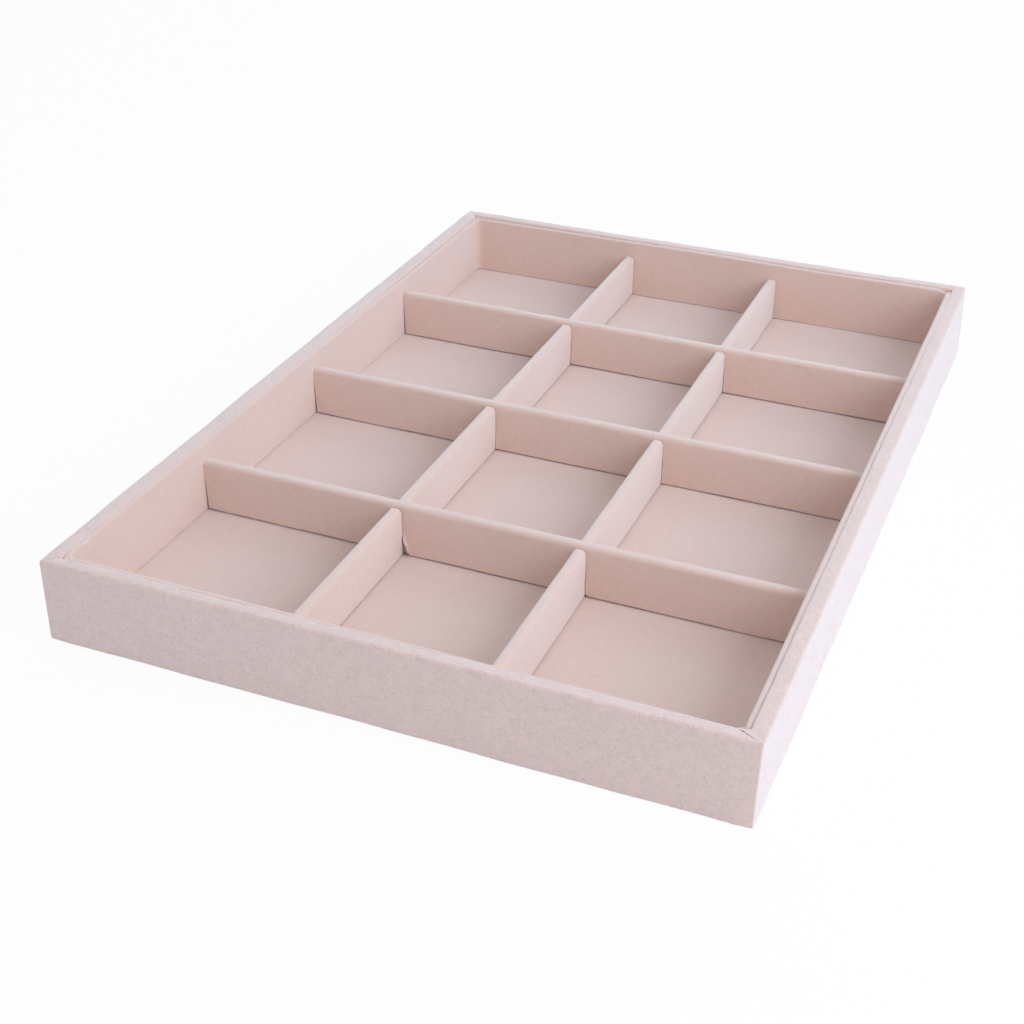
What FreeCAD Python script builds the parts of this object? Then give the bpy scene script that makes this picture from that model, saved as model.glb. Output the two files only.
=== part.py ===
import FreeCAD, Part
import math
import os
import Sketcher

# Jewelry tray: four suede-wrapped rails on a base board, a suede liner inside them,
# and a loose egg-crate of three cross dividers and two long dividers.
# Millimetres. X runs across the tray, Y from front to back, Z up; the origin is under the middle.

SIZES = {
    # Outside of the tray
    "tray_width": 240,
    "tray_depth": 350,
    "tray_height": 31,
    # Frame and base
    "rail_thickness": 4,
    "rail_edge_radius": 0.5,
    "base_thickness": 3,
    "base_cover_thickness": 0.3,
    "base_cover_inset": 4,
    "brad_diameter": 1.2,
    "brad_length": 16,
    "brad_edge_distance": 6,
    "brad_hole_clearance": 0.05,
    # Suede on the frame, the liner and the floor
    "suede_thickness": 0.4,
    "hem_width": 14,
    "floor_suede_thickness": 0.5,
    # Liner inside the rails
    "liner_card_thickness": 1.2,
    "liner_edge_radius": 0.4,
    "liner_drop": 1.3,
    "liner_flap": 8,
    # Dividers
    "divider_card_thickness": 3,
    "divider_suede_thickness": 0.5,
    "divider_edge_radius": 0.7,
    "middle_cell_width": 65,
    "cross_divider_height": 20,
    "long_divider_height": 19,
    "lap_height": 10,
    "lap_clearance": 0.3,
    "slot_clearance": 0.3,
    "slot_lead_radius": 1.5,
    "end_clearance": 0.4,
    "floor_clearance": 0.3,
}

doc = FreeCAD.newDocument("jewelry_tray")
sheet = doc.addObject("Spreadsheet::Sheet", "Sizes")
for row, (alias, value) in enumerate(SIZES.items(), start=1):
    sheet.set(f"A{row}", alias)
    sheet.set(f"B{row}", str(value))
    sheet.setAlias(f"B{row}", alias)
doc.recompute()


def size(alias):
    return f"Sizes.{alias}"


# Compartments from front to back
ROWS = 4
# The largest share of a board's thickness that one rounded edge may take
ROUND_SHARE = 0.45

# Sizes that follow from the driving ones, as expressions
SUEDE = size("suede_thickness")
HEIGHT = size("tray_height")
WALL = f"({size('rail_thickness')} + 2 * {SUEDE})"
LINER = f"({size('liner_card_thickness')} + 2 * {SUEDE})"
HEM_BOTTOM = size("base_cover_thickness")
BASE_BOTTOM = f"({HEM_BOTTOM} + {SUEDE})"
BASE_TOP = f"({BASE_BOTTOM} + {size('base_thickness')})"
FLOOR_TOP = f"({BASE_TOP} + {size('floor_suede_thickness')})"
RAIL_TOP = f"({HEIGHT} - {SUEDE})"
LINER_TOP = f"({HEIGHT} - {size('liner_drop')})"
INSIDE_WIDTH = f"({size('tray_width')} - 2 * {WALL} - 2 * {LINER})"
INSIDE_DEPTH = f"({size('tray_depth')} - 2 * {WALL} - 2 * {LINER})"
DIVIDER = f"({size('divider_card_thickness')} + 2 * {size('divider_suede_thickness')})"
DIVIDER_BOTTOM = f"({FLOOR_TOP} + {size('floor_clearance')})"
LONG_OFFSET = f"(({size('middle_cell_width')} + {DIVIDER}) / 2)"
CROSS_PITCH = f"(({INSIDE_DEPTH} + {DIVIDER}) / {ROWS})"
SLOT_HALF = f"({DIVIDER} / 2 + {size('slot_clearance')})"
LAP_ROOF = f"({size('lap_height')} + {size('lap_clearance')} / 2)"
LAP_SEAT = f"({size('lap_height')} - {size('lap_clearance')} / 2)"
BRAD_HOLE = f"({size('brad_diameter')} / 2 + {size('brad_hole_clearance')})"
BRAD_LOW = f"({BASE_TOP} + {size('brad_edge_distance')})"
BRAD_HIGH = f"({RAIL_TOP} - {size('brad_edge_distance')})"

# Each side of the tray in its own frame: local X along the side, local Y inwards from its outer face
SIDES = {
    "front": {"turn": 0, "length": size("tray_width"), "x": "0", "y": f"-{size('tray_depth')} / 2"},
    "back": {"turn": 180, "length": size("tray_width"), "x": "0", "y": f"{size('tray_depth')} / 2"},
    "left": {"turn": -90, "length": size("tray_depth"), "x": f"-{size('tray_width')} / 2", "y": "0"},
    "right": {"turn": 90, "length": size("tray_depth"), "x": f"{size('tray_width')} / 2", "y": "0"},
}
LEFT = 1
RIGHT = -1


def number(expression):
    return float(sheet.evalExpression(expression))


def edge_radius(alias, thickness):
    # The board's rounded edge, never more than its thickness has room for
    return f"min({size(alias)}; {size(thickness)} * {ROUND_SHARE})"


def new_body(label):
    body = doc.addObject("PartDesign::Body", label)
    body.Label = label
    return body


def new_sketch(body, name, plane):
    sketch = body.newObject("Sketcher::SketchObject", f"{body.Name}_{name}")
    support = [feature for feature in body.Origin.OriginFeatures if feature.Role == plane]
    sketch.AttachmentSupport = [(support[0], "")]
    sketch.MapMode = "FlatFace"
    return sketch


def bind(sketch, constraint, expression):
    index = sketch.addConstraint(constraint)
    sketch.setExpression(f"Constraints[{index}]", expression)


def quarter_arc(start, end, radius, turn):
    # A quarter circle from start to end that turns left or right on its way
    middle = (start + end) * 0.5
    chord = end - start
    side = FreeCAD.Vector(-chord.y, chord.x, 0) * (0.5 * turn)
    centre = middle + side
    first, last = (start, end) if turn == LEFT else (end, start)
    angle = math.atan2(first.y - centre.y, first.x - centre.x)
    end_angle = math.atan2(last.y - centre.y, last.x - centre.x)
    circle = Part.Circle(centre, FreeCAD.Vector(0, 0, 1), radius)
    return Part.ArcOfCircle(circle, angle, end_angle)


def outline(sketch, corners):
    # A closed outline through corners (x, y), or (x, y, radius, turn) where an arc leads on from one
    points = [FreeCAD.Vector(number(corner[0]), number(corner[1]), 0) for corner in corners]
    entries = []
    exits = []
    for index, corner in enumerate(corners):
        start = points[index]
        end = points[(index + 1) % len(points)]
        if len(corner) == 2:
            edge = sketch.addGeometry(Part.LineSegment(start, end), False)
            entry, leave = 1, 2
        else:
            radius, turn = corner[2], corner[3]
            edge = sketch.addGeometry(quarter_arc(start, end, number(radius), turn), False)
            entry, leave = (1, 2) if turn == LEFT else (2, 1)
            bind(sketch, Sketcher.Constraint("Radius", edge, number(radius)), radius)
        entries.append((edge, entry))
        exits.append((edge, leave))
    for index, corner in enumerate(corners):
        edge, entry = entries[index]
        sketch.addConstraint(Sketcher.Constraint("Coincident", *exits[index - 1], edge, entry))
        bind(sketch, Sketcher.Constraint("DistanceX", edge, entry, points[index].x), corner[0])
        bind(sketch, Sketcher.Constraint("DistanceY", edge, entry, points[index].y), corner[1])


def circle(sketch, x, y, radius):
    centre = FreeCAD.Vector(number(x), number(y), 0)
    edge = sketch.addGeometry(Part.Circle(centre, FreeCAD.Vector(0, 0, 1), number(radius)), False)
    bind(sketch, Sketcher.Constraint("DistanceX", edge, 3, centre.x), x)
    bind(sketch, Sketcher.Constraint("DistanceY", edge, 3, centre.y), y)
    bind(sketch, Sketcher.Constraint("Radius", edge, number(radius)), radius)


def pad_both_ways(body, sketch, length):
    pad = body.newObject("PartDesign::Pad", f"{body.Name}_pad")
    pad.Profile = sketch
    pad.SideType = "Symmetric"
    pad.setExpression("Length", length)


def cut_through(body, sketch, name):
    pocket = body.newObject("PartDesign::Pocket", f"{body.Name}_{name}")
    pocket.Profile = sketch
    pocket.SideType = "Symmetric"
    pocket.Type = "ThroughAll"


def place(item, x, y, z, turn=0):
    item.Placement = FreeCAD.Placement(FreeCAD.Vector(), FreeCAD.Rotation(FreeCAD.Vector(0, 0, 1), turn))
    item.setExpression("Placement.Base.x", x)
    item.setExpression("Placement.Base.y", y)
    item.setExpression("Placement.Base.z", z)


def place_side(item, side, z):
    place(item, SIDES[side]["x"], SIDES[side]["y"], z, SIDES[side]["turn"])


def cut_mitres(body, side):
    # Both ends cut at 45 degrees, from the tray's outer corner inwards
    half = f"{SIDES[side]['length']} / 2"
    reach = f"({WALL} + {size('hem_width')})"
    sketch = new_sketch(body, "mitre_outline", "XY_Plane")
    outline(sketch, [(half, "0"), (half, reach), (f"{half} - {reach}", reach)])
    outline(sketch, [(f"-{half}", "0"), (f"-({half} - {reach})", reach), (f"-{half}", reach)])
    cut_through(body, sketch, "mitres")


def slab(label, width, depth, thickness, bottom):
    # A flat rectangular piece in the middle of the tray
    box = doc.addObject("Part::Box", label)
    box.Label = label
    box.setExpression("Length", width)
    box.setExpression("Width", depth)
    box.setExpression("Height", thickness)
    place(box, f"-({width}) / 2", f"-({depth}) / 2", bottom)
    return box


def board_section(near, far, bottom, top, radius):
    # The section of an upright board, with both top edges rounded
    return [
        (near, bottom),
        (far, bottom),
        (far, f"{top} - {radius}", radius, LEFT),
        (f"{far} - {radius}", top),
        (f"{near} + {radius}", top, radius, LEFT),
        (near, f"{top} - {radius}"),
    ]


def rail(side):
    body = new_body(f"{side}_rail")
    radius = edge_radius("rail_edge_radius", "rail_thickness")
    sketch = new_sketch(body, "section", "YZ_Plane")
    outline(sketch, board_section(SUEDE, f"({WALL} - {SUEDE})", BASE_TOP, RAIL_TOP, radius))
    pad_both_ways(body, sketch, f"{SIDES[side]['length']} - 2 * {SUEDE}")
    cut_mitres(body, side)
    if side in ("front", "back"):
        drill_ends(body, side)
    else:
        drill_faces(body, side)
    place_side(body, side, "0")
    return body


def drill_ends(body, side):
    # Brads run along the front and back rails, in from each end
    depth = f"({SIDES[side]['length']} / 2 - {SUEDE})"
    for name, end in (("near", f"-{depth}"), ("far", f"{depth} - {size('brad_length')}")):
        sketch = new_sketch(body, f"{name}_brads", "YZ_Plane")
        sketch.setExpression("AttachmentOffset.Base.z", end)
        for height in (BRAD_LOW, BRAD_HIGH):
            circle(sketch, f"{WALL} / 2", height, BRAD_HOLE)
        pocket = body.newObject("PartDesign::Pocket", f"{body.Name}_{name}_holes")
        pocket.Profile = sketch
        pocket.Reversed = True
        pocket.setExpression("Length", size("brad_length"))


def drill_faces(body, side):
    # Brads cross the mitred ends of the left and right rails
    across = f"({SIDES[side]['length']} / 2 - {WALL} / 2)"
    sketch = new_sketch(body, "brads", "XZ_Plane")
    for x in (f"-{across}", across):
        for height in (BRAD_LOW, BRAD_HIGH):
            circle(sketch, x, height, BRAD_HOLE)
    cut_through(body, sketch, "holes")


def corner_brads():
    # Two pins at each corner, driven in from the left and right rails' outer faces
    pins = []
    for x_sign, turn in ((-1, 90), (1, -90)):
        for y_sign in (-1, 1):
            for height in (BRAD_LOW, BRAD_HIGH):
                pin = doc.addObject("Part::Cylinder", "brad")
                pin.setExpression("Radius", f"{size('brad_diameter')} / 2")
                pin.setExpression("Height", size("brad_length"))
                axis = FreeCAD.Rotation(FreeCAD.Vector(0, 1, 0), turn)
                pin.Placement = FreeCAD.Placement(FreeCAD.Vector(), axis)
                pin.setExpression("Placement.Base.x", f"{x_sign} * ({size('tray_width')} / 2 - {SUEDE})")
                pin.setExpression("Placement.Base.y", f"{y_sign} * ({size('tray_depth')} / 2 - {WALL} / 2)")
                pin.setExpression("Placement.Base.z", height)
                pins.append(pin)
    group = doc.addObject("Part::Compound", "corner_brads")
    group.Label = "corner_brads"
    group.Links = pins
    return group


def wrap(side):
    # One strip of suede: hem under the base, up the outside, over the rim and down inside the rail
    body = new_body(f"{side}_wrap")
    inner = edge_radius("rail_edge_radius", "rail_thickness")
    outer = f"({inner} + {SUEDE})"
    inside = f"({WALL} - {SUEDE})"
    sketch = new_sketch(body, "section", "YZ_Plane")
    outline(sketch, [
        ("0", HEM_BOTTOM),
        (size("hem_width"), HEM_BOTTOM),
        (size("hem_width"), BASE_BOTTOM),
        (SUEDE, BASE_BOTTOM),
        (SUEDE, f"{HEIGHT} - {outer}", inner, RIGHT),
        (outer, RAIL_TOP),
        (f"{WALL} - {outer}", RAIL_TOP, inner, RIGHT),
        (inside, f"{HEIGHT} - {outer}"),
        (inside, BASE_TOP),
        (WALL, BASE_TOP),
        (WALL, f"{HEIGHT} - {outer}", outer, LEFT),
        (f"{WALL} - {outer}", HEIGHT),
        (outer, HEIGHT, outer, LEFT),
        ("0", f"{HEIGHT} - {outer}"),
    ])
    pad_both_ways(body, sketch, SIDES[side]["length"])
    cut_mitres(body, side)
    place_side(body, side, "0")
    return body


def liner_length(side):
    # The left and right liners run the whole depth, the front and back ones stand between them
    full = f"({SIDES[side]['length']} - 2 * {WALL})"
    return full if side in ("left", "right") else f"({full} - 2 * {LINER})"


def liner_card(side):
    body = new_body(f"{side}_liner_card")
    radius = edge_radius("liner_edge_radius", "liner_card_thickness")
    near = f"({WALL} + {SUEDE})"
    far = f"({WALL} + {LINER} - {SUEDE})"
    sketch = new_sketch(body, "section", "YZ_Plane")
    outline(sketch, board_section(near, far, FLOOR_TOP, f"({LINER_TOP} - {SUEDE})", radius))
    pad_both_ways(body, sketch, liner_length(side))
    place_side(body, side, "0")
    return body


def liner_suede(side):
    # Suede up the liner's face, over its top and a flap's length down its back
    body = new_body(f"{side}_liner_suede")
    inner = edge_radius("liner_edge_radius", "liner_card_thickness")
    outer = f"({inner} + {SUEDE})"
    face = f"({WALL} + {LINER})"
    flap_end = f"({LINER_TOP} - {size('liner_flap')})"
    sketch = new_sketch(body, "section", "YZ_Plane")
    outline(sketch, [
        (WALL, flap_end),
        (f"{WALL} + {SUEDE}", flap_end),
        (f"{WALL} + {SUEDE}", f"{LINER_TOP} - {outer}", inner, RIGHT),
        (f"{WALL} + {outer}", f"{LINER_TOP} - {SUEDE}"),
        (f"{face} - {outer}", f"{LINER_TOP} - {SUEDE}", inner, RIGHT),
        (f"{face} - {SUEDE}", f"{LINER_TOP} - {outer}"),
        (f"{face} - {SUEDE}", FLOOR_TOP),
        (face, FLOOR_TOP),
        (face, f"{LINER_TOP} - {outer}", outer, LEFT),
        (f"{face} - {outer}", LINER_TOP),
        (f"{WALL} + {outer}", LINER_TOP, outer, LEFT),
        (WALL, f"{LINER_TOP} - {outer}"),
    ])
    pad_both_ways(body, sketch, liner_length(side))
    place_side(body, side, "0")
    return body


# The two kinds of divider: where each one's slots are, where they open and how far they reach
LONG_SLOTS = [f"-{CROSS_PITCH}", "0", CROSS_PITCH]
CROSS_SLOTS = [f"-{LONG_OFFSET}", LONG_OFFSET]
DIVIDERS = {
    "cross": {
        "length": f"({INSIDE_WIDTH} - 2 * {size('end_clearance')})",
        "height": size("cross_divider_height"),
        "slots": CROSS_SLOTS,
        "slot_mouth": "0",
        "slot_end": LAP_ROOF,
        "turn": 0,
        "places": {"front": ("0", f"-{CROSS_PITCH}"), "middle": ("0", "0"), "back": ("0", CROSS_PITCH)},
    },
    "long": {
        "length": f"({INSIDE_DEPTH} - 2 * {size('end_clearance')})",
        "height": size("long_divider_height"),
        "slots": LONG_SLOTS,
        "slot_mouth": size("long_divider_height"),
        "slot_end": LAP_SEAT,
        "turn": 90,
        "places": {"left": (f"-{LONG_OFFSET}", "0"), "right": (LONG_OFFSET, "0")},
    },
}


def slot_below(left, right, lead, mouth, end):
    # A slot open at the bottom, whose mouth widens in two quarter rounds
    low = f"{mouth} - {lead}"
    high = f"{mouth} + {lead}"
    return [
        (f"{left} - {lead}", low),
        (f"{right} + {lead}", low),
        (f"{right} + {lead}", mouth, lead, RIGHT),
        (right, high),
        (right, end),
        (left, end),
        (left, high, lead, RIGHT),
        (f"{left} - {lead}", mouth),
    ]


def slot_above(left, right, lead, mouth, end):
    # A slot open at the top, whose mouth widens in two quarter rounds
    low = f"{mouth} - {lead}"
    high = f"{mouth} + {lead}"
    return [
        (left, end),
        (right, end),
        (right, low, lead, RIGHT),
        (f"{right} + {lead}", mouth),
        (f"{right} + {lead}", high),
        (f"{left} - {lead}", high),
        (f"{left} - {lead}", mouth, lead, RIGHT),
        (left, low),
    ]


def cut_slots(body, kind):
    layout = DIVIDERS[kind]
    slot = slot_below if kind == "cross" else slot_above
    sketch = new_sketch(body, "slot_outline", "XZ_Plane")
    for x in layout["slots"]:
        left = f"{x} - {SLOT_HALF}"
        right = f"{x} + {SLOT_HALF}"
        outline(sketch, slot(left, right, size("slot_lead_radius"), layout["slot_mouth"], layout["slot_end"]))
    cut_through(body, sketch, "slots")


def place_divider(body, kind, spot):
    x, y = DIVIDERS[kind]["places"][spot]
    place(body, x, y, DIVIDER_BOTTOM, DIVIDERS[kind]["turn"])


def divider_card(kind, spot):
    body = new_body(f"{kind}_divider_{spot}_card")
    radius = edge_radius("divider_edge_radius", "divider_card_thickness")
    half = f"{size('divider_card_thickness')} / 2"
    top = f"({DIVIDERS[kind]['height']} - {size('divider_suede_thickness')})"
    sketch = new_sketch(body, "section", "YZ_Plane")
    outline(sketch, board_section(f"-{half}", half, "0", top, radius))
    pad_both_ways(body, sketch, DIVIDERS[kind]["length"])
    cut_slots(body, kind)
    place_divider(body, kind, spot)
    return body


def divider_suede(kind, spot):
    # Suede up one face of the card, over its top edge and down the other face
    body = new_body(f"{kind}_divider_{spot}_suede")
    inner = edge_radius("divider_edge_radius", "divider_card_thickness")
    suede = size("divider_suede_thickness")
    outer = f"({inner} + {suede})"
    half = f"({DIVIDER} / 2)"
    card = f"({size('divider_card_thickness')} / 2)"
    top = DIVIDERS[kind]["height"]
    sketch = new_sketch(body, "section", "YZ_Plane")
    outline(sketch, [
        (f"-{half}", "0"),
        (f"-{card}", "0"),
        (f"-{card}", f"{top} - {outer}", inner, RIGHT),
        (f"-{half} + {outer}", f"{top} - {suede}"),
        (f"{half} - {outer}", f"{top} - {suede}", inner, RIGHT),
        (card, f"{top} - {outer}"),
        (card, "0"),
        (half, "0"),
        (half, f"{top} - {outer}", outer, LEFT),
        (f"{half} - {outer}", top),
        (f"-{half} + {outer}", top, outer, LEFT),
        (f"-{half}", f"{top} - {outer}"),
    ])
    pad_both_ways(body, sketch, DIVIDERS[kind]["length"])
    cut_slots(body, kind)
    place_divider(body, kind, spot)
    return body


def build():
    board_width = f"({size('tray_width')} - 2 * {SUEDE})"
    board_depth = f"({size('tray_depth')} - 2 * {SUEDE})"
    floor_width = f"({size('tray_width')} - 2 * {WALL})"
    floor_depth = f"({size('tray_depth')} - 2 * {WALL})"
    cover_width = f"({size('tray_width')} - 2 * {size('base_cover_inset')})"
    cover_depth = f"({size('tray_depth')} - 2 * {size('base_cover_inset')})"
    pieces = [
        slab("base_cover", cover_width, cover_depth, size("base_cover_thickness"), "0"),
        slab("base_board", board_width, board_depth, size("base_thickness"), BASE_BOTTOM),
        slab("floor_suede", floor_width, floor_depth, size("floor_suede_thickness"), BASE_TOP),
        corner_brads(),
    ]
    for side in SIDES:
        pieces += [rail(side), wrap(side), liner_card(side), liner_suede(side)]
    for kind, layout in DIVIDERS.items():
        for spot in layout["places"]:
            pieces += [divider_card(kind, spot), divider_suede(kind, spot)]
    return pieces


def check(pieces):
    for item in doc.Objects:
        if "Invalid" in item.State or "Error" in item.State:
            raise RuntimeError(f"{item.Name} failed: {item.State}")
        if item.TypeId == "PartDesign::Pocket":
            if item.Shape.Volume >= item.BaseFeature.Shape.Volume:
                raise RuntimeError(f"{item.Name} cuts nothing")
    for piece in pieces:
        if piece.Shape.isNull() or not piece.Shape.isValid():
            raise RuntimeError(f"{piece.Label} has no valid shape")


pieces = build()
doc.recompute()
check(pieces)
os.makedirs("parts", exist_ok=True)
for piece in pieces:
    piece.Shape.exportStep(f"parts/{piece.Label}.step")
    print(f"{piece.Label}: {len(piece.Shape.Solids)} solids, {piece.Shape.Volume:.1f} mm3")
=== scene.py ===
import math

import bpy
import numpy as np
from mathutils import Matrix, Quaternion, Vector


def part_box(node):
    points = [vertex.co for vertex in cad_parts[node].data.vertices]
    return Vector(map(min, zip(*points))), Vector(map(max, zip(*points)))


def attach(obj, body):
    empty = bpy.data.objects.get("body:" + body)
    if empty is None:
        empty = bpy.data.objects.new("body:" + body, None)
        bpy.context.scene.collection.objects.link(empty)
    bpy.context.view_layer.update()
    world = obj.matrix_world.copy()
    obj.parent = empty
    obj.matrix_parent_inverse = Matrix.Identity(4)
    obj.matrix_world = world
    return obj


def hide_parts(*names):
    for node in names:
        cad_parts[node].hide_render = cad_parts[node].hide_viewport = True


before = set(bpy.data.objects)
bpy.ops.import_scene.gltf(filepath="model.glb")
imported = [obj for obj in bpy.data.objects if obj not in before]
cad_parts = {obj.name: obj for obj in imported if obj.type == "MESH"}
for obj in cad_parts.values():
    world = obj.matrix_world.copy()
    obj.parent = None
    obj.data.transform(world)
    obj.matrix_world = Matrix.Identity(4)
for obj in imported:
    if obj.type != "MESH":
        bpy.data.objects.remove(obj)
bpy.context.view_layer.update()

# Lengths below are in millimetres, and meshes are made in metres
MM = 0.001


def box_mm(node_name):
    """The low and high corner of a node of the frame, in millimetres."""
    low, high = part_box(node_name)
    return np.array(low) / MM, np.array(high) / MM


# Sizes of the tray, read from the frame
wrap_low, wrap_high = box_mm("front_wrap")
rail_low, rail_high = box_mm("front_rail")
_, liner_high = box_mm("front_liner_suede")
_, floor_high = box_mm("floor_suede")
HALF_WIDTH = wrap_high[0]
HALF_DEPTH = -wrap_low[1]
RIM = wrap_high[2]
HEM_LEVEL = wrap_low[2]
HEM_WIDTH = wrap_high[1] - wrap_low[1]
SUEDE = rail_low[1] - wrap_low[1]
WALL = rail_high[1] - rail_low[1] + 2 * SUEDE
WALL_FOOT = rail_low[2]
LINER_FACE = liner_high[1] - wrap_low[1]
LINER_TOP = liner_high[2]
FLOOR = floor_high[2]

# Turn of each side of the tray about the upright, seen from above
SIDES = {"front": 0, "right": 90, "back": 180, "left": -90}
# Sides that run from left to right
CROSS_SIDES = ("front", "back")

# Spacing of points in wraps, liners and along dividers, in flat sheets, and over a divider's fold
CLOTH_STEP = 2.5
FLAT_STEP = 3
FOLD_STEP = 2.0
ARC_STEPS = 6
SHARP_ANGLE = math.radians(50)
TINY = 1e-6

# Unevenness: how many waves are added up, the spread of their lengths, and the middle of the sum
WAVE_COUNT = 7
WAVE_SPREAD = (0.6, 1.8)
WAVE_MIDDLE = 0.5


# Paths and grids

def straight(start, end, step):
    """Points after the start of a straight run, up to its end."""
    count = max(1, math.ceil(np.linalg.norm(end - start) / step))
    return [start + (end - start) * k / count for k in range(1, count + 1)]


def rounded_path(corners, step):
    """Points along straight runs between corners, each given as depth, height and radius.

    A corner that has a radius turns by a right angle.
    """
    spots = [np.array(corner[:2], float) for corner in corners]
    path = [spots[0]]
    for before, spot, after, corner in zip(spots, spots[1:], spots[2:], corners[1:]):
        radius = corner[2]
        back = (before - spot) / np.linalg.norm(before - spot)
        onward = (after - spot) / np.linalg.norm(after - spot)
        path += straight(path[-1], spot + back * radius, step)
        centre = spot + (back + onward) * radius
        for k in range(1, ARC_STEPS + 1 if radius else 1):
            angle = k / ARC_STEPS * math.pi / 2
            path.append(centre - radius * (onward * math.cos(angle) + back * math.sin(angle)))
    path += straight(path[-1], spots[-1], step)
    return np.array(path)


def step_lengths(path):
    return np.linalg.norm(np.diff(path, axis=0), axis=1)


def run_along(path):
    """Distance of each point of a path from its start."""
    return np.concatenate([[0], np.cumsum(step_lengths(path))])


def run_from(path, spot):
    """Distance of each point along a path from the point nearest to a spot."""
    run = run_along(path)
    return run - run[np.linalg.norm(path - spot, axis=1).argmin()]


def smooth(t):
    """Eases from 0 to 1 while t goes from 0 to 1."""
    t = np.clip(t, 0, 1)
    return t * t * (3 - 2 * t)


def ease(t, start, length):
    """Eases from 0 at the start to 1 a length further on."""
    return smooth((t - start) / length)


def bell(off, width):
    """1 where off is zero, falling softly to 0 on both sides."""
    return np.exp(-(off / width) ** 2)


def waves(across, along, seed, wavelength):
    """Soft unevenness between 0 and 1 over two coordinates."""
    draw = np.random.default_rng(seed)
    total = 0
    for _ in range(WAVE_COUNT):
        heading = draw.uniform(0, math.tau)
        pace = math.tau / (wavelength * draw.uniform(*WAVE_SPREAD))
        phase = draw.uniform(0, math.tau)
        total = total + np.sin((across * math.cos(heading) + along * math.sin(heading)) * pace + phase)
    return np.clip(WAVE_MIDDLE + total / WAVE_COUNT, 0, 1)


def uneven(form, across, along, seed, level=0):
    """Waves of a given height, wavelength and addition to the seed, counted from a level."""
    height, wavelength, addition = form
    return height * (waves(across, along, seed + addition, wavelength) - level)


def normals(grid):
    """Unit normals of a grid of points, on the cloth's right side."""
    across = np.gradient(grid, axis=0)
    along = np.gradient(grid, axis=1)
    normal = np.cross(across, along)
    return normal / np.linalg.norm(normal, axis=2, keepdims=True)


def on_side(grid, side):
    """Turns points given along a side, inwards and up into the tray's frame."""
    turn = math.radians(SIDES[side])
    reach = HALF_DEPTH if side in CROSS_SIDES else HALF_WIDTH
    x, y, z = np.moveaxis(grid, 2, 0)
    y = y - reach
    turned_x = x * math.cos(turn) - y * math.sin(turn)
    turned_y = x * math.sin(turn) + y * math.cos(turn)
    return np.stack([turned_x, turned_y, z], axis=2)


def cloth(name, outer, thickness, kept=None):
    """A closed sheet with the given points on its right side; cells that aren't kept are cut out."""
    rows, columns = outer.shape[:2]
    inner = outer - thickness * normals(outer)
    if kept is None:
        kept = np.ones((rows - 1, columns - 1), bool)
    number = np.arange(rows * columns).reshape(rows, columns)
    under = rows * columns
    faces = []
    for i, j in np.argwhere(kept):
        ring = [number[i, j], number[i + 1, j], number[i + 1, j + 1], number[i, j + 1]]
        faces.append(ring)
        faces.append([corner + under for corner in reversed(ring)])
        beside = ((i, j - 1), (i + 1, j), (i, j + 1), (i - 1, j))
        for k, (row, column) in enumerate(beside):
            inside = 0 <= row < rows - 1 and 0 <= column < columns - 1
            if not (inside and kept[row, column]):
                start, end = ring[k], ring[(k + 1) % 4]
                faces.append([end, start, start + under, end + under])
    used, faces = np.unique(np.array(faces), return_inverse=True)
    points = np.concatenate([outer.reshape(-1, 3), inner.reshape(-1, 3)])[used] * MM
    mesh = bpy.data.meshes.new(name)
    mesh.from_pydata(points.tolist(), [], faces.reshape(-1, 4).tolist())
    mesh.shade_smooth()
    mesh.set_sharp_from_angle(angle=SHARP_ANGLE)
    piece = bpy.data.objects.new(name, mesh)
    bpy.context.scene.collection.objects.link(piece)
    return piece


def hand_over(piece, body, node_name, material):
    """Puts a cloth on its body, in the place of a plain solid."""
    piece.data.materials.append(material)
    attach(piece, body)
    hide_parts(node_name)


# Materials

NOISE_ROUGHNESS = 0.55
# Range of tone from a material's dark to its light colour
TONE_RANGE = (0.25, 0.75)
TONE_MIDDLE = 0.5
# Strokes of nap: size, width as a span of noise, detail and bend
STROKE_SIZE = 1.6
STROKE_WIDTH = 0.05
STROKE_DETAIL = 0.5
STROKE_BEND = 1.0
# Gaps between strokes: size against theirs, the span of noise over which a gap closes, and its seed
GAP_RATIO = 1.7
GAP_SPAN = (0.36, 0.54)
GAP_SEED = 5
PALE_SEED = 1.0
DARK_SEED = 2.0
# Suede: sizes of patches and grain, and the weights of all in its tone and relief
PATCH_SIZE = 20
GRAIN_SIZE = 0.5
PATCH_TONE = 0.12
GRAIN_TONE = 0.35
STROKE_TONE = 0.38
GRAIN_RELIEF = 0.5
STROKE_RELIEF = 0.3
SUEDE_ROUGHNESS = (0.85, 1.0)
SUEDE_SHEEN = (
    ("Specular IOR Level", 0.15),
    ("Sheen Weight", 1.0),
    ("Sheen Roughness", 0.65),
    ("Sheen Tint", (0.93, 0.97, 1.0, 1)),
)


def node(tree, kind, inputs=(), **settings):
    """Adds a shader node; inputs are pairs of a socket and a value or an output."""
    made = tree.nodes.new(kind)
    for key, value in settings.items():
        setattr(made, key, value)
    for socket, value in inputs:
        if isinstance(value, bpy.types.NodeSocket):
            tree.links.new(value, made.inputs[socket])
        else:
            made.inputs[socket].default_value = value
    return made


def maths(tree, operation, *values):
    """Adds a maths node and gives its result."""
    return node(tree, "ShaderNodeMath", list(enumerate(values)), operation=operation).outputs[0]


def map_range(tree, value, source, target, kind="LINEAR"):
    """Takes a value from the source range into the target range."""
    inputs = [("Value", value), ("From Min", source[0]), ("From Max", source[1]),
              ("To Min", target[0]), ("To Max", target[1])]
    return node(tree, "ShaderNodeMapRange", inputs, interpolation_type=kind).outputs["Result"]


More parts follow.
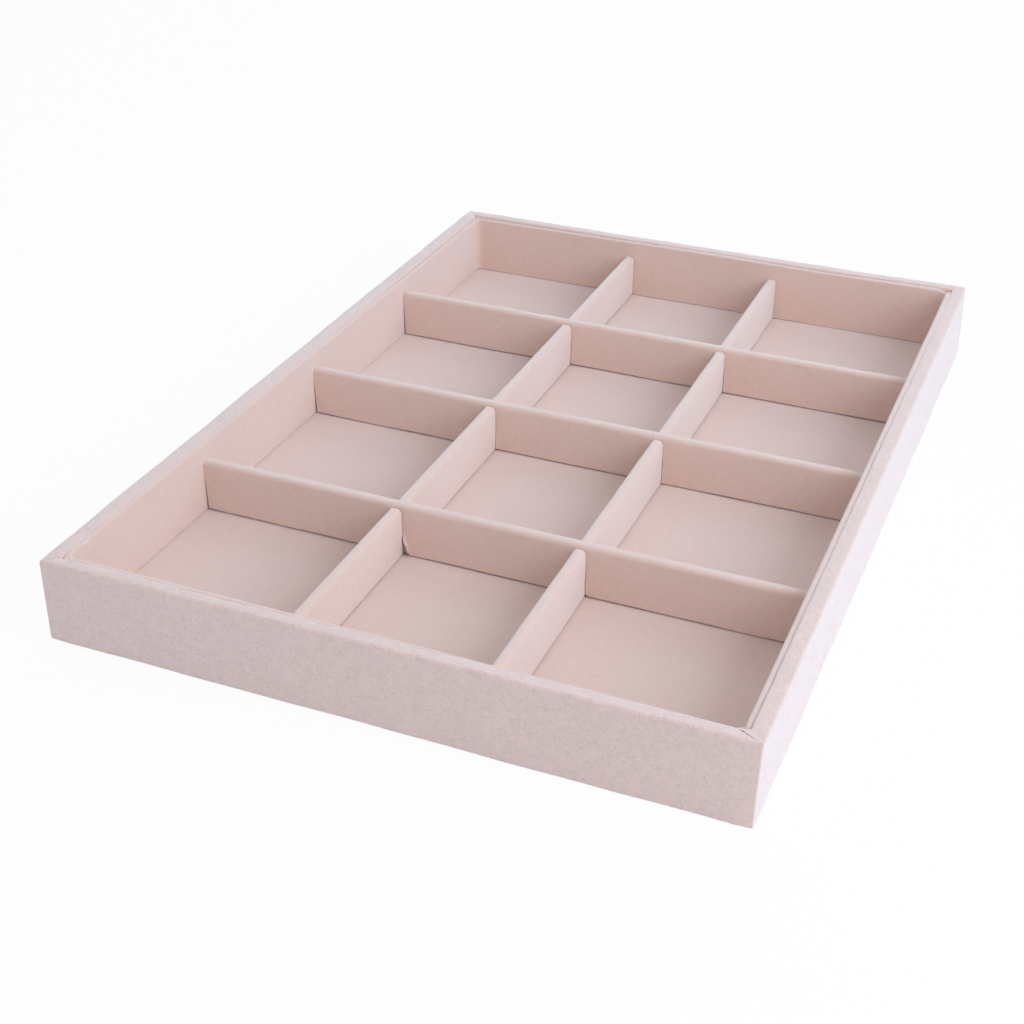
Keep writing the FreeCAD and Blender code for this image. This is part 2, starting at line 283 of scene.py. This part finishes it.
def empty_tree(owner):
    """Gives a material or a world an empty node tree."""
    owner.use_nodes = True
    owner.node_tree.nodes.clear()
    return owner.node_tree


def blank_material(name):
    material = bpy.data.materials.new(name)
    tree = empty_tree(material)
    place = node(tree, "ShaderNodeTexCoord").outputs["Object"]
    return material, tree, place


def noise(tree, place, size, detail=2.0, distortion=0.0, seed=0.0):
    """Noise with features of about the given size in millimetres."""
    inputs = [("Vector", place), ("W", seed), ("Scale", 1 / (size * MM)), ("Detail", detail),
              ("Roughness", NOISE_ROUGHNESS), ("Distortion", distortion)]
    return node(tree, "ShaderNodeTexNoise", inputs, noise_dimensions="4D").outputs["Fac"]


def strokes(tree, place, seed):
    """Short curved strokes of nap, 1 along their middle and 0 beside them."""
    field = noise(tree, place, STROKE_SIZE, STROKE_DETAIL, STROKE_BEND, seed)
    off = maths(tree, "ABSOLUTE", maths(tree, "SUBTRACT", field, TONE_MIDDLE))
    line = map_range(tree, off, (0.0, STROKE_WIDTH), (1.0, 0.0), "SMOOTHSTEP")
    gaps = noise(tree, place, GAP_RATIO * STROKE_SIZE, detail=1.0, seed=seed + GAP_SEED)
    present = map_range(tree, gaps, GAP_SPAN, (0.0, 1.0), "SMOOTHSTEP")
    return maths(tree, "MULTIPLY", line, present)


def weighted(tree, parts):
    """Sum of sources, each taken about its middle and given a weight; the result lies about the middle."""
    total = TONE_MIDDLE
    for source, weight in parts:
        shift = maths(tree, "SUBTRACT", source, TONE_MIDDLE)
        total = maths(tree, "MULTIPLY_ADD", shift, weight, total)
    return total


def two_tone(tree, source, dark, light):
    """Goes from a dark to a light colour with the source."""
    ramp = node(tree, "ShaderNodeValToRGB", [("Fac", source)])
    for stop, position, colour in zip(ramp.color_ramp.elements, TONE_RANGE, (dark, light)):
        stop.position = position
        stop.color = (*colour, 1)
    return ramp.outputs["Color"]


def finish_material(tree, colour, roughness, relief, relief_depth, extras=()):
    """Joins colour, roughness and relief; what stands up is rougher."""
    rough = map_range(tree, relief, (0.0, 1.0), roughness)
    bump = node(tree, "ShaderNodeBump", [("Height", relief), ("Distance", relief_depth * MM)])
    inputs = [("Base Color", colour), ("Roughness", rough), ("Normal", bump.outputs["Normal"]), *extras]
    shader = node(tree, "ShaderNodeBsdfPrincipled", inputs)
    node(tree, "ShaderNodeOutputMaterial", [("Surface", shader.outputs["BSDF"])])


def suede_material(name, dark, light, nap, relief_depth):
    """Suede with strokes of raised nap; nap is the strength of its tones."""
    material, tree, place = blank_material(name)
    patches = noise(tree, place, PATCH_SIZE, detail=3, distortion=0.6)
    pale_nap = strokes(tree, place, PALE_SEED)
    dark_nap = strokes(tree, place, DARK_SEED)
    grain = noise(tree, place, GRAIN_SIZE)
    tone = weighted(tree, [(patches, PATCH_TONE * nap), (grain, GRAIN_TONE * nap),
                           (pale_nap, STROKE_TONE * nap), (dark_nap, -STROKE_TONE * nap)])
    colour = two_tone(tree, tone, dark, light)
    relief = weighted(tree, [(grain, GRAIN_RELIEF), (pale_nap, STROKE_RELIEF),
                             (dark_nap, -STROKE_RELIEF)])
    finish_material(tree, colour, SUEDE_ROUGHNESS, relief, relief_depth, SUEDE_SHEEN)
    return material


def grained_material(name, dark, light, fine, clouds, roughness, relief_depth):
    """Fine grain over soft clouds, both given as size, detail, distortion and weight in the tone."""
    material, tree, place = blank_material(name)
    *fine_form, fine_weight = fine
    *cloud_form, cloud_weight = clouds
    grain = noise(tree, place, *fine_form)
    tone = weighted(tree, [(grain, fine_weight), (noise(tree, place, *cloud_form), cloud_weight)])
    finish_material(tree, two_tone(tree, tone, dark, light), roughness, grain, relief_depth)
    return material


def steel_material(name, dark, light, scuff_size, roughness, relief_depth):
    """Bright metal with fine scuffs."""
    material, tree, place = blank_material(name)
    scuffs = noise(tree, place, scuff_size, detail=3)
    colour = two_tone(tree, scuffs, dark, light)
    finish_material(tree, colour, roughness, scuffs, relief_depth, [("Metallic", 1.0)])
    return material


# Two copies of one suede: the wraps' copy is a few percent lighter, fitted to the lit outside; the smooth
# copy inside the cells is darker and warmer, which is painted shade
suede = suede_material("pale_suede", dark=(0.712, 0.511, 0.432), light=(0.853, 0.627, 0.535),
                       nap=1.0, relief_depth=0.17)
smooth_shaded_suede = suede_material("pale_smooth_shaded_suede", dark=(0.685, 0.487, 0.4), light=(0.82, 0.597, 0.497),
                              nap=0.5, relief_depth=0.06)
board = grained_material("brown_fibreboard", dark=(0.33, 0.22, 0.13), light=(0.48, 0.34, 0.22),
                         fine=(1.2, 4, 0.8, 0.7), clouds=(12, 2, 0.0, 0.4),
                         roughness=(0.7, 0.85), relief_depth=0.05)
card = grained_material("grey_card", dark=(0.42, 0.325, 0.265), light=(0.56, 0.45, 0.385),
                        fine=(0.8, 4, 0.0, 0.8), clouds=(9, 2, 0.0, 0.3),
                        roughness=(0.8, 0.95), relief_depth=0.03)
paper = grained_material("matt_paper", dark=(0.60, 0.50, 0.47), light=(0.71, 0.61, 0.58),
                         fine=(1.0, 3, 0.5, 0.5), clouds=(30, 3, 0.0, 0.5),
                         roughness=(0.65, 0.8), relief_depth=0.02)
steel = steel_material("bright_wire", dark=(0.50, 0.50, 0.50), light=(0.66, 0.66, 0.65),
                       scuff_size=0.5, roughness=(0.25, 0.4), relief_depth=0.01)


# Rail wraps

WRAP_SEED = 11
# Rounding of the rim's edges and of the foot
RIM_ROUNDS = {"front": 1.1, "right": 0.7, "back": 0.7, "left": 1.0}
FOOT_ROUND = 0.7
# Upright corners in the order front left, front right, back right, back left: rounding and depth of seam
CORNER_ROUNDS = (0.7, 0.6, 0.45, 0.9)
SEAM_DIPS = (0.3, 0.28, 0.14, 0.06)
# Columns of points round a corner, and their distances beside it
CORNER_STEPS = 8
CLOSE_STEPS = (0.25, 0.6, 1.0, 1.5, 2.1, 3.0, 4.2)
# The rim reaches this far down, and its forms fade in over this height
RIM_REACH = 1.6
RIM_FADE = 1.4
# Seams on the rim: width, gap, start inside the outer face, end past the inner one, and fade there
SEAM_WIDTH = 0.45
SEAM_GAP = 0.05
SEAM_START = 1
SEAM_PAST = 0.2
SEAM_FADE = 0.8
# At the front right corner the right wrap laps over the front one
LAP_RISE = 0.06
LAP_VALLEY = 0.8
LAP_SLANT = 0.65
LAP_START = 0.5
LAP_RUN = 1.5
# Soft waves of the walls: height, wavelength and addition to the seed; the hem under the base lies flat
WRAP_WAVE = (0.22, 45, 0)
HEM_FLAT = 0.1
MITRE_FADE = 6
# Waves of the rim's edges: height, wavelength, addition to the seed, level where they turn inwards, width
EDGE_HEIGHTS = {"front": 0.4, "right": 0.35, "back": 0.12, "left": 0.1}
EDGE_WAVELENGTH = 13
EDGE_SEED = 5
EDGE_SINK = 0.45
EDGE_WIDTH = 1.1
# Strength of these waves on the outer and on the inner edge
EDGE_SHARES = (1.0, 0.6)
# The front wrap's outer edge is fuller towards the right
EDGE_FILL = 0.35
# How far the left wrap stands out, at even distances from front to back
LEFT_OUT = (0.4, 0.6, 0.65, 0.8, 1.0, 1.0, 1.0, 1.0, 0.7)
# How far the right wrap stands out along the rim, and at its foot in front and behind
RIGHT_RIM_OUT = 0.5
RIGHT_FOOT_OUT = (0.1, 1.6)
# Depth from the outer face that stands out with it
OUT_DEPTH = 3
# The rim is higher at the back right corner: height, start and length of the rise, reach down the wall
CORNER_RAISE = 0.5
RAISE_TO_RIGHT = (50, 60)
RAISE_TO_BACK = (160, 12)
RAISE_REACH = 6
# The front wrap's foot hangs lower on the right: depth, start and length of the fall, reach up the wall
FOOT_SAG = 0.25
SAG_TO_RIGHT = (-20, 80)
SAG_REACH = 4


def corner_place(depth, way, corner_round):
    """Where a cloth at some depth runs round an upright corner to the mitre, as way goes from 0 to 1.

    Gives the distances short of the corner's two outer faces.
    """
    full = math.pi / 4 * corner_round
    bend = np.maximum(corner_round - depth, 0)
    before = math.pi / 4 * (corner_round - bend)
    run = way * full
    angle = np.maximum(run - before, 0) / np.maximum(bend, TINY)
    short = np.maximum(corner_round, depth) + before - np.minimum(run, before) - bend * np.sin(angle)
    inward = depth + bend * (1 - np.cos(angle))
    return short, inward


def wrap_columns(depth, half, corner_rounds):
    """Places along a wrap and inward, from mitre to mitre, close together near the mitres."""
    ends = []
    for corner_round in corner_rounds:
        near = [corner_place(depth, way, corner_round) for way in np.linspace(1, 0, CORNER_STEPS + 1)]
        start = near[-1][0]
        near += [(start + step, depth) for step in CLOSE_STEPS]
        ends.append(near)
    first = ends[0][-1][0] - half
    last = half - ends[1][-1][0]
    shares = np.linspace(0, 1, round(2 * half / CLOTH_STEP) + 1)[1:-1]
    columns = [(short - half, inward) for short, inward in ends[0]]
    columns += [(first + share * (last - first), depth) for share in shares]
    columns += [(half - short, inward) for short, inward in reversed(ends[1])]
    x, y = np.moveaxis(np.array(columns), 1, 0)
    return x, y


def wrap_lift(side, path, half, x, z, seed):
    """How far a wrap's cloth stands off its plain shape in soft waves and at the rim's uneven edges."""
    lift = uneven(WRAP_WAVE, x, run_along(path), seed) * (z > HEM_LEVEL + HEM_FLAT)
    edge_wave = (EDGE_HEIGHTS[side], EDGE_WAVELENGTH, EDGE_SEED)
    near_edges = [bell(run_from(path, (depth, RIM)), EDGE_WIDTH) for depth in (0, WALL)]
    for near, share in zip(near_edges, EDGE_SHARES):
        lift = lift - share * uneven(edge_wave, x, 0, seed, EDGE_SINK) * near
    if side == "front":
        lift = lift + EDGE_FILL * ease(x, -half / 2, half) * near_edges[0]
    return lift


def stand_out(grid):
    """Moves a wrap's points to where its cloth stands off the rails."""
    x, y, z = np.moveaxis(grid, 2, 0)
    share = (y + HALF_DEPTH) / (2 * HALF_DEPTH)
    left = np.interp(share, np.linspace(0, 1, len(LEFT_OUT)), LEFT_OUT)
    foot = RIGHT_FOOT_OUT[0] + (RIGHT_FOOT_OUT[1] - RIGHT_FOOT_OUT[0]) * share
    right = foot + (RIGHT_RIM_OUT - foot) * z / RIM
    near_left = smooth(1 - (x + HALF_WIDTH) / OUT_DEPTH)
    near_right = smooth(1 - (HALF_WIDTH - x) / OUT_DEPTH)
    near_front = smooth(1 - (y + HALF_DEPTH) / OUT_DEPTH)
    near_rim = smooth((z - RIM + RAISE_REACH) / RAISE_REACH)
    raised = CORNER_RAISE * ease(x, *RAISE_TO_RIGHT) * ease(y, *RAISE_TO_BACK) * near_rim
    sag = FOOT_SAG * ease(x, *SAG_TO_RIGHT) * near_front * smooth(1 - z / SAG_REACH)
    return np.stack([x - left * near_left + right * near_right, y, z + raised - sag], axis=2)


def wrap_cloth(side, length, seed, corner_rounds, dips):
    """The cloth over one rail, with the rounding of the corner and the depth of the seam at either end."""
    half = length / 2
    rim_round = RIM_ROUNDS[side]
    path = rounded_path(((HEM_WIDTH, HEM_LEVEL, 0), (0, HEM_LEVEL, FOOT_ROUND), (0, RIM, rim_round),
                         (WALL, RIM, rim_round), (WALL, WALL_FOOT, 0)), CLOTH_STEP)
    depth, height = path.T
    x, y = wrap_columns(depth, half, corner_rounds)
    z = np.broadcast_to(height, x.shape)
    to_end = half - np.abs(x) - y
    on_rim = smooth((z - RIM + RIM_REACH) / RIM_FADE)
    across_rim = smooth(depth - SEAM_START) * smooth((WALL + SEAM_PAST - depth) / SEAM_FADE)
    seam_width = np.where((x > 0) & (side == "front"), LAP_VALLEY, SEAM_WIDTH)
    seam = bell(to_end, seam_width) * on_rim * across_rim
    dip = np.where(x < 0, *dips) * seam
    gap = SEAM_GAP * seam
    lap = LAP_SLANT * np.maximum(y - LAP_START, 0) * on_rim
    if side == "front":
        x = x - lap * smooth(1 - to_end / MITRE_FADE) * (x > 0)
    if side == "right":
        y = y + lap * smooth(1 - to_end / LAP_RUN) * (x < 0)
        dip = np.where(x < 0, -LAP_RISE * seam, dip)
        gap = gap * (x > 0)
    grid = np.stack([x, y, z], axis=2)
    lift = wrap_lift(side, path, half, x, z, seed) * smooth(to_end / MITRE_FADE)
    grid = grid + normals(grid) * (lift - dip)[:, :, None]
    grid[:, :, 0] -= np.sign(x) * gap
    placed = stand_out(on_side(grid, side))
    piece = cloth(f"{side}_wrap_cloth", placed, SUEDE)
    hand_over(piece, "tray", f"{side}_wrap", suede)


# Liners

LINER_SEED = 21
LINER_ROUND = 0.85
LINER_FLAP = 8
LINER_CUT = 0.3
LINER_STEP = RIM - LINER_TOP
# Distances of the close columns from an end, and of the first even one
LINER_CLOSE = (0, 0.15, 0.4, 0.8, 1.3, 2.0, 2.8, 4.0)
LINER_END = 6
LINER_WAVE = (0.1, 50, 0)
# How far each liner stands above its card, at even distances along it, seen from outside
LINER_RAISES = {
    "front": (0.95, 0.85, 0.5, 0.15, 0.0),
    "right": (0.75, 0.97, 0.93, 1.15, 1.3),
    "back": (1.2, 0.55, 0.9, 0.5, 0.25),
    "left": (0.0, 0.55, 1.0, 1.2, 1.2),
}
# The raise starts this far below the plain liner's top, and is whole after this height
STRETCH_REACH = 4
STRETCH_FADE = 3
# Share of the raise that is left at an end, and the length over which it grows
END_SHARE = 0.25
END_GROWTH = 4
# A liner raised by a whole step leans this far over the rim
LINER_LEAN = 0.9
# The front and back liners curve round into the corners: radius and share of it
LINER_CORNER = 2.8
CORNER_SHARE = 0.9


def liner_cloth(side, seed):
    """The suede over one liner card, from a flap behind the card to the foot of its face."""
    low, high = box_mm(f"{side}_liner_suede")
    along = 0 if side in CROSS_SIDES else 1
    half = (high[along] - low[along]) / 2
    path = rounded_path(((WALL, LINER_TOP - LINER_FLAP, 0), (WALL, LINER_TOP, LINER_ROUND),
                         (LINER_FACE, LINER_TOP, LINER_ROUND),
                         (LINER_FACE, FLOOR + LINER_CUT, 0)), CLOTH_STEP)
    depth, height = path.T
    ends = np.array(LINER_CLOSE)
    inside = np.linspace(-half + LINER_END, half - LINER_END, round(half * 2 / CLOTH_STEP))
    x = np.concatenate([-half + ends, inside, half - ends[::-1]])[:, None]
    x, y, z = np.broadcast_arrays(x, depth, height)
    to_end = half - np.abs(x)
    face = smooth((depth - WALL) / (LINER_FACE - WALL))
    raises = LINER_RAISES[side]
    raised = np.interp(x, np.linspace(-half, half, len(raises)), raises)
    raised = raised * smooth((z - LINER_TOP + STRETCH_REACH) / STRETCH_FADE)
    raised = raised * (END_SHARE + (1 - END_SHARE) * smooth(to_end / END_GROWTH))
    z = z + raised
    y = y - LINER_LEAN * raised / LINER_STEP * (1 - face) * smooth((z - LINER_TOP) / LINER_STEP)
    grid = np.stack([x, y, z], axis=2)
    lift = uneven(LINER_WAVE, x, z + depth, seed) * smooth(to_end / LINER_END)
    grid = grid + normals(grid) * (lift * face)[:, :, None]
    if side in CROSS_SIDES:
        reach = np.clip(LINER_CORNER - to_end, 0, LINER_CORNER)
        curve = LINER_CORNER - np.sqrt(LINER_CORNER ** 2 - reach ** 2)
        grid[:, :, 1] += face * curve * CORNER_SHARE
    piece = cloth(f"{side}_liner_cloth", on_side(grid, side), SUEDE)
    hand_over(piece, "tray", f"{side}_liner_suede", smooth_shaded_suede)


for number, side in enumerate(SIDES):
    length = 2 * (HALF_WIDTH if side in CROSS_SIDES else HALF_DEPTH)
    ends = (number, (number + 1) % len(SIDES))
    rounds = [CORNER_ROUNDS[end] for end in ends]
    dips = [SEAM_DIPS[end] for end in ends]
    wrap_cloth(side, length, WRAP_SEED + number, rounds, dips)
    liner_cloth(side, LINER_SEED + number)


# Floor sheet and base cover

FLOOR_SEED = 31
FLOOR_WAVE = (0.12, 40, 0)
COVER_SEED = 32
COVER_WAVELENGTH = 60
# How far the cover sinks in, how much of that is even, and the length over which it does
COVER_SINK = 0.25
COVER_EVEN = 0.75
COVER_FADE = 5


def flat_cloth(name, node_name, facing, rise, material):
    """A sheet that lies flat; facing is 1 where its right side looks up, and rise gives its unevenness."""
    low, high = box_mm(node_name)
    x = np.linspace(low[0], high[0], round((high[0] - low[0]) / FLAT_STEP) + 1)
    y = np.linspace(low[1], high[1], round((high[1] - low[1]) / FLAT_STEP) + 1)[::facing]
    x, y = np.meshgrid(x, y, indexing="ij")
    level = high[2] if facing > 0 else low[2]
    grid = np.stack([x, y, level + rise(x, y)], axis=2)
    piece = cloth(name, grid, high[2] - low[2])
    hand_over(piece, "tray", node_name, material)


def floor_rise(x, y):
    return uneven(FLOOR_WAVE, x, y, FLOOR_SEED)


def cover_rise(x, y):
    """The cover sheet sinks a little into the shallow field inside the turned-in hems."""
    inset = np.minimum(HALF_WIDTH - np.abs(x), HALF_DEPTH - np.abs(y)) - HEM_WIDTH
    share = COVER_EVEN + (1 - COVER_EVEN) * waves(x, y, COVER_SEED, COVER_WAVELENGTH)
    return COVER_SINK * smooth(inset / COVER_FADE) * share


flat_cloth("floor_cloth", "floor_suede", 1, floor_rise, smooth_shaded_suede)
flat_cloth("base_cover_sheet", "base_cover", -1, cover_rise, paper)


# Dividers

LONG = [f"long_divider_{spot}" for spot in ("left", "right")]
CROSS = [f"cross_divider_{spot}" for spot in ("front", "middle", "back")]
LONG_SEED = 41
CROSS_SEED = 43
DIVIDER_SUEDE = 0.5
# Rounding of a divider's top edge on its front or right side and on its other side
CROSS_ROUNDS = (1.6, 0.8)
LONG_ROUNDS = (1.7, 1.0)
# The cloth ends this far above the card's foot
DIVIDER_CUT = 0.4
# Slots: half their width, height of the half-laps, clearance, and rounding of the mouths
SLOT_HALF = 2.3
LAP_HEIGHT = 10
LAP_CLEARANCE = 0.15
LONG_LEADS = (0.8, 0.8, 0.8)
CROSS_LEADS = ((1.5, 1.7), (0.7, 0.7), (0.7, 0.7))
# Distances of the close stations from slots and ends, and how near to them an even station may come
CLOSE_STATIONS = (0, 0.15, 0.35, 0.65, 1.0, 1.5, 2.2)
STATION_GAP = 0.8
STATION_DECIMALS = 4
# Waves of the cut foot, the top edge, the faces and a cross divider's front fold
FOOT_WAVE = (0.3, 25, 0)
TOP_WAVE = (0.12, 16, 9)
FACE_WAVE = (0.12, 40, 50)
FOLD_WAVE = (0.35, 12, 70)
FOLD_WIDTH = 1.3
END_FADE = 5
# Below a half-lap the cloth curls out beside the slots of a cross divider
SLOT_CURL = 0.25
CURL_WIDTH = 0.7
# The ends of a cross divider stand off the liners at the foot and reach them at the top
END_TAPER = 0.5
END_REACH = 0.3
END_HEIGHT = 0.6
END_RUN = 6
# Beside one slot the cut edge of the cloth has come away and rolls outwards
LOOSE_BODY = CROSS[0]
LOOSE_TOP = 12.7
LOOSE_SPAN = 6
LOOSE_REACH = 2.4
LOOSE_BEND = 1.3
LOOSE_CURL = 1.1
LOOSE_ROLL = 0.9
LOOSE_FADE = 0.2


def divider_stations(start, end, edges):
    """Places along a divider: even steps, and closer ones beside the slots and ends."""
    offsets = np.array(CLOSE_STATIONS)
    close = np.concatenate([edge + sign * offsets for edge in edges for sign in (-1, 1)])
    close = close[(close >= start - TINY) & (close <= end + TINY)]
    even = np.linspace(start, end, round((end - start) / CLOTH_STEP) + 1)
    even = [place for place in even if np.abs(close - place).min() > STATION_GAP]
    return np.unique(np.round(np.concatenate([close, even]), STATION_DECIMALS))


def slot_mouths(stations, slots, leads):
    """Distance of stations from the nearest slot, and how far its mouth is rounded off there."""
    offsets = np.array([np.abs(stations - slot) - SLOT_HALF for slot in slots])
    from_slot = np.maximum(offsets.min(axis=0), 0)
    lead = np.array(leads)[offsets.argmin(axis=0)]
    into = lead - np.minimum(from_slot, lead)
    return from_slot, lead - np.sqrt(lead ** 2 - into ** 2)


def loose_edge(past, y, level, foot):
    """Shift along the divider and lift of the loose cloth at a distance past the slot's edge."""
    loose = (past > -TINY) & (past < LOOSE_SPAN) & (y < 0)
    share = np.clip((LOOSE_TOP - level) / (LOOSE_TOP - foot), 0, 1)
    drawn_back = LOOSE_REACH * share ** LOOSE_BEND
    shift = drawn_back * (1 - past / LOOSE_SPAN) * loose
    from_edge = past * (1 - drawn_back / LOOSE_SPAN)
    roll = np.clip(1 - from_edge / LOOSE_ROLL, 0, 1) ** 2
    return shift, LOOSE_CURL * smooth(share / LOOSE_FADE) * roll * loose


def divider_cloth(body, slots, leads, open_above, rounds, seed):
    """The folded cloth of a divider; leads gives how far the mouth of each slot is rounded off."""
    low, high = box_mm(f"{body}_suede")
    along = 0 if high[0] - low[0] > high[1] - low[1] else 1
    across = 1 - along
    centre = (low[across] + high[across]) / 2
    half = (high[across] - low[across]) / 2
    foot = low[2] + DIVIDER_CUT
    top = high[2]
    lap = low[2] + LAP_HEIGHT + (-LAP_CLEARANCE if open_above else LAP_CLEARANCE)
    path = rounded_path(((-half, foot, 0), (-half, lap, 0), (-half, top, rounds[0]), (half, top, rounds[1]),
                         (half, lap, 0), (half, foot, 0)), FOLD_STEP)
    edges = [low[along], high[along]] + [slot + sign * SLOT_HALF for slot in slots for sign in (-1, 1)]
    stations = divider_stations(low[along], high[along], edges)
    x = stations[:, None]
    y, level = path.T
    from_slot, round_off = slot_mouths(x, slots, leads)
    below = np.clip((lap - level) / (lap - foot), 0, 1)
    above = np.clip((level - lap) / (top - rounds[0] - lap), 0, 1)
    z = level + below * uneven(FOOT_WAVE, x, 0, seed, WAVE_MIDDLE) - above * uneven(TOP_WAVE, x, 0, seed)
    z = z - above * round_off if open_above else z + below * round_off
    to_end = np.minimum(x - x[0], x[-1] - x)
    away = smooth(to_end / END_FADE)
    past = x - slots[0] - SLOT_HALF
    x = np.broadcast_to(x, z.shape)
    y = np.broadcast_to(y, z.shape)
    lift = uneven(FACE_WAVE, x, z + 2 * y, seed) * away
    if not open_above:
        fold = bell(run_from(path, (-half, top)), FOLD_WIDTH)
        lift = lift + uneven(FOLD_WAVE, x, 0, seed, WAVE_MIDDLE) * away * fold
        lift = lift + SLOT_CURL * np.exp(-from_slot / CURL_WIDTH) * smooth(below)
        reach = (END_REACH * smooth(above / END_HEIGHT) - END_TAPER * below) * smooth(1 - to_end / END_RUN)
        x = x + np.sign(x) * (np.abs(x) > slots[-1]) * reach
    if body == LOOSE_BODY:
        shift, curl = loose_edge(past, y, level, foot)
        x = x + shift
        lift = lift + curl
    grid = np.stack([x, y, z], axis=2)
    grid = grid + normals(grid) * lift[:, :, None]
    middles = (stations[1:] + stations[:-1]) / 2
    levels = (level[1:] + level[:-1]) / 2
    in_slot = np.min([np.abs(middles - slot) for slot in slots], axis=0) < SLOT_HALF
    in_gap = levels > lap if open_above else levels < lap
    kept = ~(in_slot[:, None] & in_gap[None, :])
    if along == 0:
        placed = grid + np.array([0, centre, 0])
    else:
        placed = np.stack([centre - grid[:, :, 1], grid[:, :, 0], grid[:, :, 2]], axis=2)
    piece = cloth(f"{body}_cloth", placed, DIVIDER_SUEDE, kept)
    hand_over(piece, body, f"{body}_suede", smooth_shaded_suede)


long_places = [sum(box_mm(f"{body}_card"))[0] / 2 for body in LONG]
cross_places = [sum(box_mm(f"{body}_card"))[1] / 2 for body in CROSS]
for number, body in enumerate(LONG):
    divider_cloth(body, cross_places, LONG_LEADS, True, LONG_ROUNDS, LONG_SEED + number)
for number, body in enumerate(CROSS):
    divider_cloth(body, long_places, CROSS_LEADS[number], False, CROSS_ROUNDS, CROSS_SEED + number)

# Boards, cards and brads keep their shape and get their materials
for name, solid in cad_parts.items():
    look = None
    if name.endswith("_rail") or name == "base_board":
        look = board
    elif name.endswith("_card"):
        look = card
    elif name == "corner_brads":
        look = steel
    if look is not None:
        solid.data.materials.clear()
        solid.data.materials.append(look)


# Stage, lamps and camera

WHITE = (1, 1, 1, 1)
# The stage's size is in metres, and it lies a little below the tray's foot
STAGE_SIZE = 8.0
STAGE_DROP = 0.05
STAGE_TONE = (0.93, 0.94, 0.955, 1)
STAGE_GLOW = 0.92
# Each lamp: place in metres, width and height, power
LAMPS = {
    "key": ((0.75, -0.25, 0.6), (0.5, 0.5), 3.0),
    "right": ((1.5, -0.2, 0.45), (0.8, 0.5), 3.7),
    "behind": ((0.2, 1.2, 1.0), (1.2, 0.8), 2.6),
}
LAMP_TINT = (0.958, 1.0, 1.1)
WORLD_STRENGTH = 0.648
# Camera's place and aim in metres, lens and sensor
CAMERA_PLACE = Vector((0.18904, -0.53468, 0.31868))
CAMERA_AIM = Vector((-0.00107, -0.06156, 0.0155))
CAMERA_ROLL = math.radians(0.743)
CAMERA_LENS = 57.95
CAMERA_SENSOR = 36


def seen_directly(tree):
    """1 for rays that come from the camera or by way of a mirror or glass."""
    path = node(tree, "ShaderNodeLightPath").outputs
    sharp = maths(tree, "MAXIMUM", path["Is Glossy Ray"], path["Is Transmission Ray"])
    return maths(tree, "MAXIMUM", path["Is Camera Ray"], sharp)


def mixed(tree, share, first, second):
    """Mixes two shaders; the share is that of the second."""
    inputs = [(0, share), (1, first.outputs[0]), (2, second.outputs[0])]
    return node(tree, "ShaderNodeMixShader", inputs).outputs[0]


def stage_floor():
    half = STAGE_SIZE / 2
    corners = [(-half, -half, 0), (half, -half, 0), (half, half, 0), (-half, half, 0)]
    mesh = bpy.data.meshes.new("stage_floor")
    mesh.from_pydata(corners, [], [(0, 1, 2, 3)])
    ground = bpy.data.objects.new("stage_floor", mesh)
    ground.location.z = -STAGE_DROP * MM
    bpy.context.scene.collection.objects.link(ground)
    material = bpy.data.materials.new("stage_white")
    tree = empty_tree(material)
    matt = node(tree, "ShaderNodeBsdfDiffuse", [("Color", STAGE_TONE)])
    glow = node(tree, "ShaderNodeEmission", [("Color", WHITE), ("Strength", 1.0)])
    share = maths(tree, "MULTIPLY", seen_directly(tree), STAGE_GLOW)
    node(tree, "ShaderNodeOutputMaterial", [("Surface", mixed(tree, share, matt, glow))])
    mesh.materials.append(material)


def white_world():
    """A world that fills the shadows with tinted light and is itself seen as white."""
    world = bpy.data.worlds.new("studio")
    tree = empty_tree(world)
    soft = node(tree, "ShaderNodeBackground", [("Color", (*LAMP_TINT, 1)), ("Strength", WORLD_STRENGTH)])
    white = node(tree, "ShaderNodeBackground", [("Color", WHITE), ("Strength", 1.0)])
    node(tree, "ShaderNodeOutputWorld", [("Surface", mixed(tree, seen_directly(tree), soft, white))])
    bpy.context.scene.world = world


def area_lamp(name, place, size, power):
    """A rectangular lamp that faces the tray."""
    data = bpy.data.lights.new(name, "AREA")
    data.shape = "RECTANGLE"
    data.size, data.size_y = size
    data.energy = power
    data.color = LAMP_TINT
    lamp = bpy.data.objects.new(name, data)
    lamp.location = place
    lamp.rotation_mode = "QUATERNION"
    lamp.rotation_quaternion = (-Vector(place)).to_track_quat("-Z", "Y")
    bpy.context.scene.collection.objects.link(lamp)


def photo_camera():
    data = bpy.data.cameras.new("photo_camera")
    data.lens = CAMERA_LENS
    data.sensor_width = CAMERA_SENSOR
    camera = bpy.data.objects.new("photo_camera", data)
    camera.location = CAMERA_PLACE
    camera.rotation_mode = "QUATERNION"
    level = (CAMERA_AIM - CAMERA_PLACE).to_track_quat("-Z", "Y")
    camera.rotation_quaternion = level @ Quaternion((0, 0, 1), CAMERA_ROLL)
    bpy.context.scene.collection.objects.link(camera)
    bpy.context.scene.camera = camera


stage_floor()
white_world()
for name, lamp in LAMPS.items():
    area_lamp(name, *lamp)
photo_camera()
bpy.context.scene.view_settings.view_transform = "Standard"
